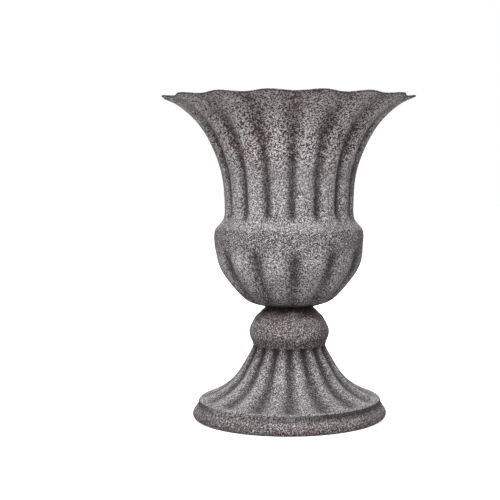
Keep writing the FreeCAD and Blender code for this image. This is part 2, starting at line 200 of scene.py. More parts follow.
@dataclass
class PressedShell:
    """A pressed sheet, meshed as rings of points that run up its outside and down its inside."""

    name: str
    outline: Outline
    fluting: Fluting
    sheet: float
    shades: Pair
    edge_shade: float = 0.0
    scallop: float = 0.0
    scallop_reach: float = 1.0
    rolled_start: bool = False
    rolled_end: bool = False

    # The same for every sheet. A wave has turns round it, a lean with height and a shift.
    points_per_flute = 22
    row_length = 0.7
    fewest_rows = 3
    end_rows = (0.08, 0.25, 0.5, 1.0)
    row_digits = 5
    roll = 0.3
    scallop_stream = 1
    depth_stream = 2
    slow_wave = (2, 0.11, 1)
    quick_wave = (5, -0.23, 2)
    quick_share = 0.6
    wave_depth = 0.05
    steady_reach = 8.0
    # The next four shape the painted shade in the grooves and the darker line along the rim edge, outside
    # and inside.
    shade_fade = 0.4
    shade_sharpness = 1.4
    edge_width = (0.2, 0.9)
    inside_shade = 0.4

    def __post_init__(self) -> None:
        """Spread the points of a ring evenly over the flutes."""
        count = self.fluting.count * self.points_per_flute
        self.angles = np.arange(count) * 2 * math.pi / count

    def places(self) -> np.ndarray:
        """Rows along the outline, closer together where it bends and at its ends.

        Returns:
            Distance of each row from the outline's start.
        """
        inner = []
        for low, high in zip(self.outline.places, self.outline.places[1:]):
            rows = max(self.fewest_rows, round((high - low) / self.row_length))
            inner.append(np.linspace(low, high, rows, endpoint=False))
        ends = self.roll * np.array(self.end_rows)
        last = self.outline.last
        return np.unique(np.concatenate([*inner, ends, last - ends, [last]]).round(self.row_digits))

    def outside(self) -> tuple[np.ndarray, np.ndarray]:
        """Points on the outside of the sheet.

        Returns:
            Grid of points, rows by angles by x, y, z, and a grid of how deep each lies in a groove, which
            sets the painted shade there.
        """
        places, last = self.places(), self.outline.last
        fade = ramp(places, last - self.scallop_reach, last)[:, None]
        cut = self.scallop * self.fluting.per_flute(self.angles, self.scallop_stream)
        point, normal = self.outline.at(places[:, None] - fade * cut * self.fluting.swing(self.angles))
        heights = point[..., 1]
        press = self.fluting.press(self.angles, heights)
        depth = self.fluting.depth(heights)
        steady = ramp(places, 0, self.steady_reach) * ramp(last - places, 0, self.steady_reach)
        inset = depth * self.fluting.per_flute(self.angles, self.depth_stream) * press
        inset = inset + self.waviness(heights) * steady[:, None]
        for rolled, distance in ((self.rolled_start, places), (self.rolled_end, last - places)):
            if rolled:
                near = np.clip(self.roll - distance, 0, self.roll)[:, None]
                inset = inset + self.roll - np.sqrt(self.roll**2 - near**2)
        # Painted shade in the grooves, graded along the outline, and a darker line along the rim edge.
        shade = between(*self.shades, places / last)[:, None]
        groove = shade * press**self.shade_sharpness * (depth / depth.max()) ** self.shade_fade
        edge = self.edge_shade * (1 - ramp(last - places, *self.edge_width))[:, None]
        return self.around(point - normal * inset[..., None]), np.maximum(groove, edge)

    def waviness(self, heights: np.ndarray) -> np.ndarray:
        """Slow unevenness of the pressed sheet, always inwards.

        Args:
            heights: Heights of the grid's points.

        Returns:
            Inset at each point.
        """
        slow, quick = (
            np.sin(turns * self.angles + lean * heights + shift * self.fluting.seed)
            for turns, lean, shift in (self.slow_wave, self.quick_wave)
        )
        return self.wave_depth * (slow + self.quick_share * quick + 1 + self.quick_share)

    def around(self, point: np.ndarray) -> np.ndarray:
        """Turn a grid of (radius, height) into x, y, z."""
        radius, height = point[..., 0], point[..., 1]
        return np.stack([radius * np.sin(self.angles), -radius * np.cos(self.angles), height], axis=-1)

    def inside(self, grid: np.ndarray) -> np.ndarray:
        """Points on the inside of the sheet, one thickness behind those of the outside.

        Args:
            grid: Points on the outside.

        Returns:
            Points on the inside, in the same grid.
        """
        across = np.roll(grid, -1, axis=1) - np.roll(grid, 1, axis=1)
        along = np.gradient(grid, axis=0)
        normal = np.cross(across, along)
        normal /= np.linalg.norm(normal, axis=-1, keepdims=True)
        return grid - normal * self.sheet

    def plain_rings(self, points: Pairs) -> np.ndarray:
        """Rings of plain radius and height."""
        return self.around(np.array(points, float)[:, None, :] * np.ones((1, len(self.angles), 1)))

    def mesh(self, sections: Sequence[tuple[np.ndarray, Any]]) -> bpy.types.Object:
        """Join rings into one closed skin.

        Args:
            sections: Grids of rings, in order round the sheet's section, each with how deep its points
                lie in a groove, as a grid or one number.

        Returns:
            The new object, with its grooves kept as an attribute.
        """
        points = np.concatenate([grid for grid, _ in sections])
        grooves = [np.broadcast_to(groove, grid.shape[:2]) for grid, groove in sections]
        rows, ring = points.shape[:2]
        index = np.arange(rows * ring).reshape(rows, ring)
        right = np.roll(index, -1, axis=1)
        above = np.roll(index, -1, axis=0)
        above_right = np.roll(above, -1, axis=1)
        faces = np.stack([index, right, above_right, above], axis=-1).reshape(-1, 4)
        data = bpy.data.meshes.new(self.name)
        data.from_pydata((points.reshape(-1, 3) * MM).tolist(), [], faces.tolist())
        values = data.attributes.new("groove", "FLOAT", "POINT")
        values.data.foreach_set("value", np.concatenate(grooves).astype(np.float32).ravel())
        data.shade_smooth()
        data.update()
        made = bpy.data.objects.new(self.name, data)
        bpy.context.scene.collection.objects.link(made)
        return made


class Graph:
    """Adds nodes to a node tree, and feeds them sockets or plain values."""

    def __init__(self, tree: bpy.types.NodeTree) -> None:
        """Keep the tree that the nodes go into."""
        self.tree = tree

    def add(self, kind: str, inputs: dict[Any, Any] | None = None, **settings: Any) -> bpy.types.Node:
        """Add a node.

        Args:
            kind: Its type in Blender.
            inputs: Values or sockets by the name or number of the input.
            **settings: Properties of the node itself.

        Returns:
            The new node.
        """
        node = self.tree.nodes.new(kind)
        for name, value in settings.items():
            setattr(node, name, value)
        for name, value in (inputs or {}).items():
            self.feed(node.inputs[name], value)
        return node

    def feed(self, socket: Socket, value: Any) -> None:
        """Link a socket into an input, or set its value.

        Args:
            socket: The input.
            value: Socket or value for it.
        """
        if isinstance(value, bpy.types.NodeSocket):
            self.tree.links.new(value, socket)
        else:
            socket.default_value = value

    def calculate(self, operation: str, first: Any, second: Any = 0.0, clamp: bool = False) -> Socket:
        """Result of one Math node."""
        node = self.add("ShaderNodeMath", {0: first, 1: second}, operation=operation, use_clamp=clamp)
        return node.outputs[0]

    def plus(self, first: Any, second: Any, clamp: bool = False) -> Socket:
        """Sum of two values, kept from 0 to 1 if clamped."""
        return self.calculate("ADD", first, second, clamp)

    def minus(self, first: Any, second: Any) -> Socket:
        """First value less the second."""
        return self.calculate("SUBTRACT", first, second)

    def times(self, first: Any, second: Any, clamp: bool = False) -> Socket:
        """Product of two values, kept from 0 to 1 if clamped."""
        return self.calculate("MULTIPLY", first, second, clamp)

    def larger(self, first: Any, second: Any, clamp: bool = False) -> Socket:
        """The larger of two values, kept from 0 to 1 if clamped."""
        return self.calculate("MAXIMUM", first, second, clamp)

    def spread(self, value: Any, low: Any, high: Any, least: Any = 0.0, most: Any = 1.0) -> Socket:
        """Smooth step from least to most while a value goes from low to high."""
        inputs = {"Value": value, "From Min": low, "From Max": high, "To Min": least, "To Max": most}
        return self.add("ShaderNodeMapRange", inputs, interpolation_type="SMOOTHSTEP").outputs["Result"]

    def across(self, distance: Any, edges: Pair, least: Any = 0.0, most: Any = 1.0) -> Socket:
        """Smooth step while a distance in metres goes from one edge to the other."""
        return self.spread(distance, *(edge * MM for edge in edges), least, most)

    def blend(self, share: Any, first: Any, second: Any) -> Socket:
        """Mix of two colours."""
        return self.add("ShaderNodeMix", {0: share, 6: first, 7: second}, data_type="RGBA").outputs[2]

    def noise(self, vector: Any, scale: Any, detail: float, **more: Any) -> Socket:
        """Strength of a cloudy noise."""
        inputs = {"Vector": vector, "Scale": scale, "Detail": detail, **more}
        return self.add("ShaderNodeTexNoise", inputs).outputs["Fac"]

    def group(self, tree: bpy.types.NodeTree, *values: Any) -> bpy.types.bpy_prop_collection:
        """Outputs of a node group whose inputs take the values in their order."""
        return self.add("ShaderNodeGroup", dict(enumerate(values)), node_tree=tree).outputs

    def relief(self, shader: bpy.types.Node, height: Socket, strength: float, depth: float) -> None:
        """Bend a shader's normal by a height, with a strength and a depth."""
        inputs = {"Height": height, "Strength": strength, "Distance": depth * MM}
        self.feed(shader.inputs["Normal"], self.add("ShaderNodeBump", inputs).outputs["Normal"])


class Effects:
    """Node groups for effects that more than one finish uses."""

    worm_share = 0.62
    worm_detail = 2.0
    worm_roughness = 0.7
    worm_distortion = 0.6
    worm_limits = (0.25, 0.75)
    grain_scale = 1.3
    patch_detail = 3.0
    patch_middle = 0.5
    dust_slopes = (0.1, 0.95)
    dust_scale = 260.0
    dust_detail = 4.0
    dust_limits = (0.3, 0.7)
    wear_width = 0.06
    wear_scale = 700.0
    wear_detail = 3.0
    wear_limits = (0.4, 0.6)

    def __init__(self) -> None:
        """Build every group once."""
        self.flecks = self.build_flecks()
        self.patches = self.build_patches()
        self.dust = self.build_dust()
        self.edge_wear = self.build_edge_wear()

    @staticmethod
    def start(name: str, outputs: Sequence[str], **inputs: float) -> tuple:
        """Begin a group that takes a vector and numbers and puts out numbers.

        Args:
            name: The group's name.
            outputs: Names of its outputs.
            **inputs: Default of each number that it takes.

        Returns:
            The tree, its graph, the outputs of its input node and the inputs of its output node.
        """
        tree = bpy.data.node_groups.new(name, "ShaderNodeTree")
        tree.interface.new_socket("Vector", in_out="INPUT", socket_type="NodeSocketVector")
        for label, default in inputs.items():
            socket = tree.interface.new_socket(label, in_out="INPUT", socket_type="NodeSocketFloat")
            socket.default_value = default
        for label in outputs:
            tree.interface.new_socket(label, in_out="OUTPUT", socket_type="NodeSocketFloat")
        graph = Graph(tree)
        return tree, graph, graph.add("NodeGroupInput").outputs, graph.add("NodeGroupOutput").inputs

    def build_flecks(self) -> bpy.types.NodeTree:
        """Grains of a lighter paint: worm-like flecks broken up by single grains.

        Returns:
            The group.
        """
        outputs = ("Mask", "Height")
        tree, graph, given, result = self.start("Flecks", outputs, Scale=1000.0, Coverage=0.5, Softness=0.1)
        shape = {"Roughness": self.worm_roughness, "Distortion": self.worm_distortion}
        worms = graph.noise(given["Vector"], given["Scale"], self.worm_detail, **shape)
        finer = graph.times(given["Scale"], self.grain_scale)
        cells = graph.add("ShaderNodeTexVoronoi", {"Vector": given["Vector"], "Scale": finer})
        grain = graph.add("ShaderNodeSeparateColor", {"Color": cells.outputs["Color"]}).outputs[0]
        worms = graph.times(graph.spread(worms, *self.worm_limits), self.worm_share)
        value = graph.plus(worms, graph.times(grain, 1 - self.worm_share))
        threshold = graph.minus(1.0, given["Coverage"])
        low = graph.minus(threshold, given["Softness"])
        high = graph.plus(threshold, given["Softness"])
        graph.feed(result["Mask"], graph.spread(value, low, high))
        graph.feed(result["Height"], value)
        return tree

    def build_patches(self) -> bpy.types.NodeTree:
        """Large soft patches.

        Returns:
            The group.
        """
        tree, graph, given, result = self.start("Patches", ("Mask",), Scale=30.0, Contrast=0.2)
        noise = graph.noise(given["Vector"], given["Scale"], self.patch_detail)
        low = graph.minus(self.patch_middle, given["Contrast"])
        high = graph.plus(self.patch_middle, given["Contrast"])
        graph.feed(result["Mask"], graph.spread(noise, low, high))
        return tree

    def build_dust(self) -> bpy.types.NodeTree:
        """Fine dust that settles on faces that look up.

        Returns:
            The group.
        """
        tree, graph, given, result = self.start("Dust", ("Mask",), Amount=0.3)
        normal = graph.add("ShaderNodeNewGeometry").outputs["Normal"]
        upward = graph.add("ShaderNodeSeparateXYZ", {0: normal}).outputs["Z"]
        noise = graph.noise(given["Vector"], self.dust_scale, self.dust_detail)
        settled = graph.spread(upward, *self.dust_slopes)
        broken = graph.times(settled, graph.spread(noise, *self.dust_limits))
        graph.feed(result["Mask"], graph.times(broken, given["Amount"]))
        return tree

    def build_edge_wear(self) -> bpy.types.NodeTree:
        """Rubbed spots along sharp edges.

        Returns:
            The group.
        """
        tree, graph, given, result = self.start("Edge wear", ("Mask",), Edge=0.56, Amount=0.5)
        pointed = graph.add("ShaderNodeNewGeometry").outputs["Pointiness"]
        sharp = graph.spread(pointed, given["Edge"], graph.plus(given["Edge"], self.wear_width))
        noise = graph.noise(given["Vector"], self.wear_scale, self.wear_detail)
        broken = graph.times(sharp, graph.spread(noise, *self.wear_limits))
        graph.feed(result["Mask"], graph.times(broken, given["Amount"]))
        return tree


def new_material(name: str) -> tuple[bpy.types.Material, Graph, bpy.types.Node, Socket]:
    """Start a material.

    Args:
        name: Its name.

    Returns:
        The material, the graph of its nodes, its Principled shader and the position on the piece.
    """
    made = bpy.data.materials.new(name)
    made.use_nodes = True
    graph = Graph(made.node_tree)
    place = graph.add("ShaderNodeTexCoord").outputs["Object"]
    return made, graph, made.node_tree.nodes["Principled BSDF"], place


# Finishes give patches a scale and contrast, flecks a scale, coverage and softness, wear an edge and
# amount, dust an amount and relief a strength and depth.
@dataclass(frozen=True)
class StonePaint:
    """Dark brown-grey paint under a dense dusting of pale grey flecks, with painted shade in its grooves,
    under the bowl and under the foot's step.
    """

    dark: Colour = srgb(64, 59, 60)
    brown: Colour = srgb(86, 60, 55)
    pale: Colour = srgb(208, 207, 209)
    middle: Colour = srgb(152, 148, 150)
    # Near-black colour that the painted shade darkens towards.
    painted_shade_colour: Colour = srgb(34, 31, 31)
    roughness: Pair = (0.62, 0.85)
    specular: float = 0.12
    fine_scale: float = 1900.0
    fine_softness: float = 0.07
    coarse_scale: float = 1350.0
    coarse_softness: float = 0.042
    coarse_heights: Pair = (108.0, 134.0)
    tone_scale: float = 1140.0
    tone_softness: float = 0.3
    tone_relief: float = 0.5
    pale_heights: Pair = (120.0, 138.0)
    pale_coverage: Pair = (0.5, 0.85)
    coverage: float = 0.51
    groove_loss: float = 0.07
    thin_loss: float = 0.22
    clouds: Pair = (70.0, 0.25)
    cloud_gain: float = 0.07
    rust: Pair = (45.0, 0.3)
    rust_least: float = 0.5
    wear: Pair = (0.56, 0.25)
    dust: float = 0.07
    relief: Pair = (0.55, 0.22)
    # How dark the painted shade makes the grooves and the thinly coated zones.
    groove_shade: float = 0.54
    thin_shade: float = 0.4
    # Painted shadow just under the bowl, where it overhangs the top of the foot.
    joint_height: float = 56.4
    joint_edges: Pair = (0.6, 3.2)
    joint_shade: float = 0.95
    # Painted shadow under the foot's step, round this height.
    step_height: float = 8.3
    # The next three count up from the step's height, and are less than 0 below it.
    step_above: Pair = (0.8, 1.3)
    step_below: Pair = (-3.8, -1.2)
    step_core: Pair = (-2.2, -0.7)
    # Painted shadow under the step differs from left to right: places across the vase, and shades there.
    core_sides: Pair = (-35.0, 25.0)
    core_left: Pair = (-46.0, -33.0)
    core_shade: Pair = (0.3, 0.85)
    under_sides: Pair = (-25.0, -5.0)
    under_shade: Pair = (0.34, 0.62)
    coat_height: float = 160.0
    # Thinness of the coat, whose mask also sets painted shade by height, and how rusty its ground is, as
    # shares of the height and values there.
    thin_and_shaded_shares: Pairs = (
        (0.0, 0.6), (0.018, 0.62), (0.034, 0.40), (0.058, 0.08), (0.15, 0.08), (0.19, 0.30),
        (0.228, 0.9), (0.265, 0.50), (0.30, 0.55), (0.335, 1.0), (0.352, 0.9), (0.37, 0.45),
        (0.42, 0.05), (0.50, 0.0), (0.55, 0.36), (0.58, 0.38), (0.61, 0.12), (0.72, 0.12),
        (0.80, 0.20), (0.97, 0.12), (0.99, 0.30),
    )
    rust_shares: Pairs = (
        (0.0, 0.4), (0.045, 0.38), (0.065, 0.1), (0.18, 0.15), (0.225, 0.38), (0.26, 0.3),
        (0.30, 0.33), (0.345, 0.8), (0.38, 0.1), (0.55, 0.1), (0.73, 0.13), (0.80, 0.38),
        (0.86, 0.85), (0.99, 1.0),
    )

    def material(self, effects: Effects) -> bpy.types.Material:
        """Build the paint.

        Args:
            effects: The shared node groups.

        Returns:
            The finished material.
        """
        made, graph, shader, place = new_material("Stone look paint")
        height = graph.add("ShaderNodeSeparateXYZ", {0: place}).outputs["Z"]
        groove = graph.add("ShaderNodeAttribute", attribute_name="groove").outputs["Fac"]
        # Thinness of the coat by height, a mask that also sets painted shade.
        thin_and_shaded = self.along_height(graph, height, self.thin_and_shaded_shares)
        cover = self.cover(graph, effects, place, groove, thin_and_shaded)
        brighter = graph.across(height, self.pale_heights, *self.pale_coverage)
        fine = graph.group(effects.flecks, place, self.fine_scale, cover, self.fine_softness)
        coarse = graph.group(effects.flecks, place, self.coarse_scale, cover, self.coarse_softness)
        tone = graph.group(effects.flecks, place, self.tone_scale, brighter, self.tone_softness)
        mask = graph.blend(graph.across(height, self.coarse_heights), fine["Mask"], coarse["Mask"])
        patches = graph.group(effects.patches, place, *self.rust)["Mask"]
        rusty = self.along_height(graph, height, self.rust_shares)
        rust = graph.times(graph.plus(patches, self.rust_least), rusty, True)
        ground = graph.blend(rust, self.dark, self.brown)
        colour = graph.blend(mask, ground, graph.blend(tone["Mask"], self.middle, self.pale))
        colour = graph.blend(graph.group(effects.edge_wear, place, *self.wear)["Mask"], colour, self.pale)
        colour = graph.blend(graph.group(effects.dust, place, self.dust)["Mask"], colour, self.pale)
        # Painted shade: grooves, thinly coated zones, the joint under the bowl and the foot's step darken
        # towards a near-black colour.
        colour = graph.blend(self.shade(graph, place, height, groove, thin_and_shaded), colour, self.painted_shade_colour)
        graph.feed(shader.inputs["Base Color"], colour)
        graph.feed(shader.inputs["Roughness"], graph.spread(mask, 0.0, 1.0, *self.roughness))
        shader.inputs["Specular IOR Level"].default_value = self.specular
        bumps = graph.plus(fine["Height"], graph.times(tone["Height"], self.tone_relief))
        graph.relief(shader, bumps, *self.relief)
        return made

    def cover(self, graph: Graph, effects: Effects, place: Socket, groove: Socket, thin_and_shaded: Socket) -> Socket:
        """How much of the ground the pale flecks cover.

        Args:
            graph: The material's nodes.
            effects: The shared node groups.
            place: Position on the piece.
            groove: How deep the place lies in a groove.
            thin_and_shaded: Thinness of the coat by height.

        Returns:
            A share from 0 to 1.
        """
        lost = graph.plus(graph.times(groove, self.groove_loss), graph.times(thin_and_shaded, self.thin_loss))
        cloud = graph.group(effects.patches, place, *self.clouds)["Mask"]
        cloud = graph.times(graph.minus(cloud, effects.patch_middle), self.cloud_gain)
        return graph.plus(graph.minus(self.coverage, lost), cloud)

    def shade(self, graph: Graph, place: Socket, height: Socket, groove: Socket, thin_and_shaded: Socket) -> Socket:
        """How much painted shade darkens the grooves, the joint under the bowl and the place under the
        foot's step.

        Args:
            graph: The material's nodes.
            place: Position on the piece.
            height: Height in metres.
            groove: How deep the place lies in a groove.
            thin_and_shaded: Thinness of the coat by height, a mask that also sets painted shade here.

        Returns:
            A share from 0 to 1.
        """
        even = graph.plus(graph.times(groove, self.groove_shade), graph.times(thin_and_shaded, self.thin_shade))
        # Painted shadow just under the bowl.
        from_joint = graph.calculate("ABSOLUTE", graph.minus(height, self.joint_height * MM))
        joint = graph.across(from_joint, self.joint_edges, self.joint_shade, 0.0)
        step = self.step_shade(graph, place, height)
        return graph.larger(even, graph.larger(joint, step), True)

    def step_shade(self, graph: Graph, place: Socket, height: Socket) -> Socket:
        """How much painted shadow lies under the foot's step: a dark core, and a softer shade below it.

        Args:
            graph: The material's nodes.
            place: Position on the piece.
            height: Height in metres.

        Returns:
            A share from 0 to 1.
        """
        aside = graph.add("ShaderNodeSeparateXYZ", {0: place}).outputs["X"]
        least, most = self.core_shade
        rightward = graph.across(aside, self.core_sides, least, most)
        strength = graph.larger(rightward, graph.across(aside, self.core_left, most, least))
        under = graph.across(aside, self.under_sides, *self.under_shade)
        from_step = graph.minus(height, self.step_height * MM)
        core = graph.times(graph.across(from_step, self.step_core), strength)
        below = graph.times(graph.across(from_step, self.step_below), under)
        return graph.times(graph.larger(core, below), graph.across(from_step, self.step_above, 1.0, 0.0))

    def along_height(self, graph: Graph, height: Socket, shares: Pairs) -> Socket:
        """Value that changes with height.

        Args:
            graph: The material's nodes.
            height: Height in metres.
            shares: Height share and value of each stop, from the bottom up.

        Returns:
            A share from 0 to 1.
        """
        share = graph.calculate("DIVIDE", height, self.coat_height * MM, True)
        node = graph.add("ShaderNodeValToRGB", {"Fac": share})
        node.color_ramp.interpolation = "EASE"
        stops = node.color_ramp.elements
        while len(stops) < len(shares):
            stops.new(0.5)
        for stop, (place, value) in zip(stops, shares):
            stop.position = place
            stop.color = (value, value, value, 1)
        return node.outputs["Color"]


@dataclass(frozen=True)
class ZincPlate:
    """Dull zinc plating with faint turning marks and darker stains."""

    plate: Colour = srgb(172, 174, 176)
    stain: Colour = srgb(112, 110, 106)
    bright: Colour = srgb(214, 215, 216)
    roughness: Pair = (0.3, 0.55)
    spangle: tuple[float, float, float] = (900.0, 0.45, 0.35)
    spangle_share: float = 0.3
    stains: Pair = (350.0, 0.2)
    stain_share: float = 0.55
    wear: Pair = (0.55, 0.8)
    mark_scale: float = 1400.0
    mark_distortion: float = 1.5
    relief: Pair = (0.12, 0.04)

    def material(self, effects: Effects) -> bpy.types.Material:
        """Build the plating.

        Args:
            effects: The shared node groups.

        Returns:
            The finished material.
        """
        made, graph, shader, place = new_material("Zinc plated steel")
        spangle = graph.group(effects.flecks, place, *self.spangle)
        stains = graph.group(effects.patches, place, *self.stains)["Mask"]
        colour = graph.blend(graph.times(stains, self.stain_share), self.plate, self.stain)
        colour = graph.blend(graph.times(spangle["Mask"], self.spangle_share), colour, self.bright)
        colour = graph.blend(graph.group(effects.edge_wear, place, *self.wear)["Mask"], colour, self.bright)
        graph.feed(shader.inputs["Base Color"], colour)
        shader.inputs["Metallic"].default_value = 1.0
        graph.feed(shader.inputs["Roughness"], graph.spread(spangle["Height"], 0.0, 1.0, *self.roughness))
        turned = graph.add(
            "ShaderNodeTexWave",
            {"Vector": place, "Scale": self.mark_scale, "Distortion": self.mark_distortion},
            wave_type="RINGS",
            rings_direction="Z",
        ).outputs["Fac"]
        graph.relief(shader, turned, *self.relief)
        return made


@dataclass(frozen=True)
class MouldedRubber:
    """Black rubber with a fine grain and a bloom of dust."""

    black: Colour = srgb(30, 30, 31)
    bloom: Colour = srgb(92, 90, 88)
    roughness: Pair = (0.7, 0.95)
    grain: tuple[float, float, float] = (2200.0, 0.3, 0.3)
    grain_share: float = 0.25
    dust: float = 0.5
    relief: Pair = (0.4, 0.06)

    def material(self, effects: Effects) -> bpy.types.Material:
        """Build the rubber.

        Args:
            effects: The shared node groups.

        Returns:
            The finished material.
        """
        made, graph, shader, place = new_material("Black rubber")
        grain = graph.group(effects.flecks, place, *self.grain)
        dusty = graph.group(effects.dust, place, self.dust)["Mask"]
        share = graph.plus(graph.times(grain["Mask"], self.grain_share), dusty, True)
        graph.feed(shader.inputs["Base Color"], graph.blend(share, self.black, self.bloom))
        graph.feed(shader.inputs["Roughness"], graph.spread(grain["Height"], 0.0, 1.0, *self.roughness))
        graph.relief(shader, grain["Height"], *self.relief)
        return made


@dataclass
class PressedPiece:
    """What the three pressed pieces share."""

    name: str
    flutes: int
    phase: float
    depth: float
    unevenness: float
    seed: int
    # Shades: how dark the painted shade in the grooves is at the outline's start and at its end.
    shades: Pair
    sheet: float = 0.6

    def shell(
        self, points: Pairs, ends: tuple, depth_at: ByHeight, sharpness_at: ByHeight, **edges: Any,
    ) -> PressedShell:
        """The piece's sheet, along an outline with its directions at both ends, and with its grooves."""
        fluting = Fluting(self.flutes, self.phase, depth_at, sharpness_at, self.unevenness, self.seed)
        return PressedShell(self.name, Outline(points, *ends), fluting, self.sheet, self.shades, **edges)

    def finish(self, made: bpy.types.Object, paint: bpy.types.Material) -> bpy.types.Object:
        """Paint a piece, and let it stand for the CAD node of the same name.

        Args:
            made: The meshed piece.
            paint: Its material.

        Returns:
            The same piece.
        """
        made.data.materials.append(paint)
        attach(made, ROOT)
        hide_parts(self.name)
        return made


@dataclass
class FlaredBell(PressedPiece):
    """Shoulder, fluted neck and scalloped mouth."""

    name: str = "flared_bell"
    flutes: int = 16
    phase: float = 3.2
    depth: float = 1.9
    unevenness: float = 0.16
    seed: int = 11
    # Painted shade in the grooves, darker at the neck than at the mouth, and a darker line along the rim
    # edge.
    shades: Pair = (1.6, 0.7)
    edge_shade: float = 1.2
    seam_height: float = 93.7
    seam_radius: float = 36.9
    shoulder_height: float = 9.8
    neck_radius: float = 32.3
    mouth_radius: float = 62.97
    clearance: float = 0.02
    collar_depth: float = 5.0
    collar_gap: float = 0.15
    collar_lap: float = 0.5
    collar_rounding: float = 0.1
    rim_depth: float = 0.35
    flute_start: float = 4.6
    flute_tip: float = 5.5
    fade: float = 20.0
    scallop: float = 3.0
    scallop_reach: float = 9.0
    neck_sharpness: float = 3.0
    rim_sharpness: float = 1.0
    shoulder_shares: Pairs = (
        (0.085, 0.915), (0.225, 0.700), (0.415, 0.330), (0.600, 0.105), (0.800, 0.020), (1.0, 0.0),
    )
    flare_shares: Pairs = (
        (0.14, 0.007), (0.29, 0.034), (0.43, 0.098), (0.59, 0.218), (0.75, 0.394), (0.88, 0.621),
        (0.955, 0.817), (1.0, 1.0),
    )

    def build(self) -> bpy.types.Object:
        """Mesh the bell between the seam and the top of the CAD bell.

        Returns:
            The new object.
        """
        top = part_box(self.name)[1].z / MM - self.clearance
        neck_height = self.seam_height + self.shoulder_height
        run = (1 - self.flare_shares[-2][1]) * (self.mouth_radius - self.neck_radius)
        rise = (1 - self.flare_shares[-2][0]) * (top - neck_height)
        rim_height = top - self.sheet * run / math.hypot(run, rise)
        shoulder_radii = (self.neck_radius, self.seam_radius)
        points = [
            (self.seam_radius, self.seam_height),
            *trace(self.shoulder_shares, (self.seam_height, neck_height), shoulder_radii),
            *trace(self.flare_shares, (neck_height, rim_height), (self.neck_radius, self.mouth_radius)),
        ]
        ends = (np.subtract(points[1], points[0]), np.subtract(points[-1], points[-2]))
        flute_bottom = self.seam_height + self.flute_start

        def depth_at(heights: np.ndarray) -> np.ndarray:
            """Depth of the grooves at each height."""
            start = ramp(heights, flute_bottom, flute_bottom + self.flute_tip)
            return start * between(self.depth, self.rim_depth, ramp(heights, top - self.fade, top))

        def sharpness_at(heights: np.ndarray) -> np.ndarray:
            """Sharpness of the grooves at each height."""
            return between(self.neck_sharpness, self.rim_sharpness, ramp(heights, neck_height, top))

        shell = self.shell(
            points, ends, depth_at, sharpness_at, edge_shade=self.edge_shade, scallop=self.scallop,
            scallop_reach=self.scallop_reach, rolled_start=True,
        )
        outside, groove = shell.outside()
        inside = shell.inside(outside)
        outer = self.seam_radius - self.sheet - self.collar_gap - shell.roll
        inner = outer - self.sheet
        first = int(np.argmax(np.hypot(inside[:, 0, 0], inside[:, 0, 1]) < inner))
        bottom = self.seam_height - self.collar_depth
        collar = shell.plain_rings([
            (inner, self.seam_height + self.collar_lap),
            (inner, bottom + self.collar_rounding),
            (inner + self.collar_rounding, bottom),
            (outer - self.collar_rounding, bottom),
            (outer, bottom + self.collar_rounding),
            (outer, self.seam_height),
        ])
        # Weaker painted shade in the grooves on the inside.
        hidden = groove[first:][::-1] * shell.inside_shade
        return shell.mesh([(outside, groove), (inside[first:][::-1], hidden), (collar, 0.0)])


@dataclass
class Bowl(PressedPiece):
    """Plain band, soft lobes and flat floor."""

    name: str = "bowl"
    flutes: int = 12
    phase: float = 4.5
    depth: float = 1.5
    unevenness: float = 0.15
    seed: int = 23
    # Painted shade in the lobes' grooves, none at the floor and growing towards the seam.
    shades: Pair = (0.0, 2.0)
    radius: float = 37.2
    seam_radius: float = 36.9
    floor_radius: float = 11.8
    hole_radius: float = 2.75
    band: float = 7.5
    fade: float = 7.5
    floor_fade: float = 2.5
    sharpness: float = 2.0
    swell_shares: Pairs = (
        (0.012, 0.170), (0.062, 0.365), (0.183, 0.567), (0.315, 0.730), (0.433, 0.855),
        (0.555, 0.943), (0.672, 0.982), (0.808, 0.990), (0.942, 1.0),
    )

    def build(self) -> bpy.types.Object:
        """Mesh the bowl between the floor and the top edge of the CAD bowl.

        Returns:
            The new object.
        """
        floor, seam = (corner.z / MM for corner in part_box(self.name))
        points = [
            (self.floor_radius, floor),
            *trace(self.swell_shares, (floor, seam), (self.floor_radius, self.radius)),
            (self.seam_radius, seam),
        ]
        lobe_top = seam - self.band

        def depth_at(heights: np.ndarray) -> np.ndarray:
            """Depth of the grooves at each height."""
            top = ramp(heights, lobe_top, lobe_top - self.fade)
            return self.depth * top * ramp(heights, floor, floor + self.floor_fade)

        def sharpness_at(heights: np.ndarray) -> np.ndarray:
            """Sharpness of the grooves, the same all the way."""
            return np.full_like(heights, self.sharpness)

        ends = ((1, 0), np.subtract(points[-1], points[-2]))
        shell = self.shell(points, ends, depth_at, sharpness_at, rolled_end=True)
        outside, groove = shell.outside()
        inside = shell.inside(outside)
        floor_levels = (inside[0, 0, 2], outside[0, 0, 2])
        hole = shell.plain_rings([(self.hole_radius, level) for level in floor_levels])
        # Weaker painted shade in the grooves on the inside.
        hidden = groove[::-1] * shell.inside_shade
        return shell.mesh([(outside, groove), (inside[::-1], hidden), (hole, 0.0)])


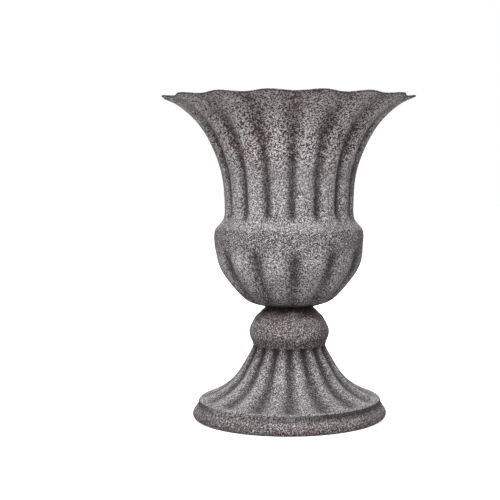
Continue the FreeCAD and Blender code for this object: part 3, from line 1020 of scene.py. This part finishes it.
@dataclass
class PedestalFoot(PressedPiece):
    """Knob, fluted flare, step, bead and turned-in hem."""

    name: str = "pedestal_foot"
    flutes: int = 16
    phase: float = 0.5
    depth: float = 1.35
    unevenness: float = 0.14
    seed: int = 37
    # Painted shade in the grooves, lighter at the hem and darker towards the top.
    shades: Pair = (0.8, 1.9)
    bead_height: float = 8.7
    flare_height: float = 28.2
    knob_height: float = 19.5
    step_radius: float = 45.6
    waist_radius: float = 18.3
    knob_radius: float = 20.1
    top_radius: float = 12.3
    top_bend: float = 1.4
    bend_middle_share: float = 0.293
    hem_bend: float = 2.2
    hem_width: float = 2.6
    hole_radius: float = 2.75
    flute_start: float = 1.2
    flute_stop: float = 1.0
    flute_end_rise: float = 1.7
    top_sharpness: float = 1.2
    edge_sharpness: float = 1.0
    hem_shares: Pairs = ((0.13, 0.55), (0.42, 0.20))
    bead_shares: Pairs = (
        (0.310, 1.0), (0.506, 0.72), (0.735, 0.30), (0.845, 0.097), (0.925, 0.030), (0.983, 0.015),
    )
    flare_shares: Pairs = (
        (0.019, 0.993), (0.0365, 0.974), (0.096, 0.840), (0.191, 0.630), (0.333, 0.419),
        (0.5035, 0.269), (0.674, 0.161), (0.801, 0.084), (0.908, 0.0275),
    )
    knob_lower_shares: Pairs = ((0.0, 0.0), (0.082, 0.25), (0.175, 0.70))
    knob_upper_shares: Pairs = (
        (0.313, 1.0), (0.426, 0.955), (0.549, 0.81), (0.662, 0.665), (0.738, 0.53), (0.815, 0.30),
        (0.892, 0.12),
    )

    def build(self) -> bpy.types.Object:
        """Mesh the foot between the floor and the top of the CAD foot.

        Returns:
            The new object.
        """
        low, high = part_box(self.name)
        bead_radius = (high.x - low.x) / 2 / MM
        hem_radius = bead_radius - self.hem_bend
        widest = self.bead_height * self.bead_shares[0][0]
        waist = self.bead_height + self.flare_height
        top = waist + self.knob_height
        middle = self.top_bend * self.bend_middle_share
        points = [
            (hem_radius, 0.0),
            *trace(self.hem_shares, (0.0, widest), (bead_radius, hem_radius)),
            *trace(self.bead_shares, (0.0, self.bead_height), (self.step_radius, bead_radius)),
            *trace(self.flare_shares, (self.bead_height, waist), (self.waist_radius, self.step_radius)),
            *trace(self.knob_lower_shares, (waist, top), (self.waist_radius, self.knob_radius)),
            *trace(self.knob_upper_shares, (waist, top), (self.top_radius, self.knob_radius)),
            (self.top_radius, top - self.top_bend),
            (self.top_radius - middle, top - middle),
            (self.top_radius - self.top_bend, top),
        ]
        flute_bottom = self.bead_height + self.flute_stop

        def depth_at(heights: np.ndarray) -> np.ndarray:
            """Depth of the grooves at each height."""
            start = ramp(heights, waist, waist - self.flute_start)
            return self.depth * start * ramp(heights, flute_bottom, flute_bottom + self.flute_end_rise)

        def sharpness_at(heights: np.ndarray) -> np.ndarray:
            """Sharpness of the grooves at each height."""
            return between(self.edge_sharpness, self.top_sharpness, ramp(heights, self.bead_height, waist))

        shell = self.shell(points, ((1, 0), (-1, 0)), depth_at, sharpness_at)
        outside, groove = shell.outside()
        inside = shell.inside(outside)
        top_levels = (outside[-1, 0, 2], inside[-1, 0, 2])
        hole = shell.plain_rings([(self.hole_radius, level) for level in top_levels])
        hem_levels = (inside[0, 0, 2], outside[0, 0, 2])
        edge = shell.plain_rings([(hem_radius - self.hem_width, level) for level in hem_levels])
        # Weaker painted shade in the grooves on the inside.
        hidden = groove[::-1] * shell.inside_shade
        return shell.mesh([(outside, groove), (hole, 0.0), (inside[::-1], hidden), (edge, 0.0)])


@dataclass(frozen=True)
class Fasteners:
    """The screw set, kept as it is in the frame and given its finish."""

    slots: tuple = (
        ("clamp_screw", Slot.ZINC),
        ("head_washer", Slot.ZINC),
        ("nut_washer", Slot.ZINC),
        ("lock_washer", Slot.ZINC),
        ("hex_nut", Slot.ZINC),
        ("seal_washer", Slot.RUBBER),
    )

    def dress(self, finishes: dict[Slot, bpy.types.Material]) -> None:
        """Give each CAD node its material.

        Args:
            finishes: The material of each slot.
        """
        for name, slot in self.slots:
            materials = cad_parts[name].data.materials
            materials.clear()
            materials.append(finishes[slot])
            log.info("dressed %s", name)


@dataclass(frozen=True)
class Lamp:
    """A square soft lamp that faces the middle of the vase."""

    name: str
    place: tuple[float, float, float]
    size: float
    watts: float
    aim_height: float = 80.0

    def build(self) -> None:
        """Make the lamp."""
        data = bpy.data.lights.new(self.name, "AREA")
        data.size = self.size * MM
        data.energy = self.watts
        lamp = bpy.data.objects.new(self.name, data)
        lamp.location = Vector(self.place) * MM
        aim = Vector((0, 0, self.aim_height * MM)) - lamp.location
        lamp.rotation_euler = aim.to_track_quat("-Z", "Y").to_euler()
        bpy.context.scene.collection.objects.link(lamp)


@dataclass(frozen=True)
class Studio:
    """Pale floor, soft lamps, white surroundings and the camera."""

    floor_size: float = 6000.0
    floor_grey: float = 0.62
    floor_roughness: float = 0.9
    near_glow: float = 0.9
    glow_radii: Pair = (130.0, 420.0)
    world_strength: float = 0.065
    camera_distance: float = 583.8
    camera_height: float = 125.25
    camera_pitch: float = 4.06
    camera_roll: float = 0.2
    lens: float = 84.35
    axis_pixel: float = 288.9
    frame_pixels: float = 500.0
    lamps: tuple[Lamp, ...] = (
        Lamp("key lamp", (-130, -900, 820), 420, 17.1),
        Lamp("fill lamp", (700, -760, 330), 500, 0.3),
        Lamp("low lamp", (-240, -940, 40), 600, 1.4),
        Lamp("back lamp", (0, 960, 520), 500, 7.5),
    )

    def build(self) -> None:
        """Make floor, world, lamps and camera."""
        self.build_floor()
        self.build_world()
        for lamp in self.lamps:
            lamp.build()
        self.build_camera()

    def build_floor(self) -> None:
        """Make a pale floor that keeps the vase's shadow, is white elsewhere and clear from below."""
        half = self.floor_size / 2 * MM
        data = bpy.data.meshes.new("studio_floor")
        corners = [(-half, -half, 0), (half, -half, 0), (half, half, 0), (-half, half, 0)]
        data.from_pydata(corners, [], [(0, 1, 2, 3)])
        floor = bpy.data.objects.new("studio_floor", data)
        bpy.context.scene.collection.objects.link(floor)
        made, graph, shader, place = new_material("Studio floor")
        shader.inputs["Base Color"].default_value = (*[self.floor_grey] * 3, 1)
        shader.inputs["Roughness"].default_value = self.floor_roughness
        away = graph.add("ShaderNodeVectorMath", {0: place}, operation="LENGTH").outputs["Value"]
        strength = graph.across(away, self.glow_radii, self.near_glow, 1.0)
        glow = graph.add("ShaderNodeEmission", {"Color": WHITE, "Strength": strength})
        both = graph.add("ShaderNodeAddShader", {0: shader.outputs[0], 1: glow.outputs[0]})
        seen = graph.add("ShaderNodeLightPath").outputs["Is Camera Ray"]
        mix = graph.add("ShaderNodeMixShader", {0: seen, 1: shader.outputs[0], 2: both.outputs[0]})
        clear = graph.add("ShaderNodeBsdfTransparent")
        under = graph.add("ShaderNodeNewGeometry").outputs["Backfacing"]
        one_sided = graph.add("ShaderNodeMixShader", {0: under, 1: mix.outputs[0], 2: clear.outputs[0]})
        graph.feed(made.node_tree.nodes["Material Output"].inputs["Surface"], one_sided.outputs[0])
        data.materials.append(made)

    def build_world(self) -> None:
        """Make soft surroundings that the camera and gloss see as white."""
        world = bpy.data.worlds.new("Studio")
        world.use_nodes = True
        bpy.context.scene.world = world
        graph = Graph(world.node_tree)
        light = graph.add("ShaderNodeLightPath").outputs
        white = graph.larger(light["Is Camera Ray"], light["Is Glossy Ray"])
        white = graph.larger(white, light["Is Transmission Ray"])
        levels = {"Value": white, "To Min": self.world_strength, "To Max": 1.0}
        background = world.node_tree.nodes["Background"]
        background.inputs["Color"].default_value = WHITE
        graph.feed(background.inputs["Strength"], graph.add("ShaderNodeMapRange", levels).outputs["Result"])

    def build_camera(self) -> None:
        """Make the camera at the photograph's viewing angle."""
        data = bpy.data.cameras.new("camera")
        data.lens = self.lens
        data.shift_x = (self.frame_pixels / 2 - self.axis_pixel) / self.frame_pixels
        camera = bpy.data.objects.new("camera", data)
        camera.location = (0, -self.camera_distance * MM, self.camera_height * MM)
        level = Matrix.Rotation(math.radians(90 - self.camera_pitch), 3, "X")
        roll = Matrix.Rotation(math.radians(-self.camera_roll), 3, "Z")
        camera.rotation_euler = (level @ roll).to_euler()
        bpy.context.scene.collection.objects.link(camera)
        bpy.context.scene.camera = camera


def main() -> None:
    """Build and dress the vase piece by piece, and set the studio round it."""
    logging.basicConfig(level=logging.INFO, format="%(name)s: %(message)s")
    effects = Effects()
    stone = StonePaint().material(effects)
    for piece in (PedestalFoot(), Bowl(), FlaredBell()):
        made = piece.finish(piece.build(), stone)
        log.info("built %s with %d faces", piece.name, len(made.data.polygons))
    zinc, rubber = ZincPlate().material(effects), MouldedRubber().material(effects)
    Fasteners().dress({Slot.ZINC: zinc, Slot.RUBBER: rubber})
    Studio().build()
    bpy.context.scene.view_settings.view_transform = "Standard"


if __name__ == "__main__":
    main()
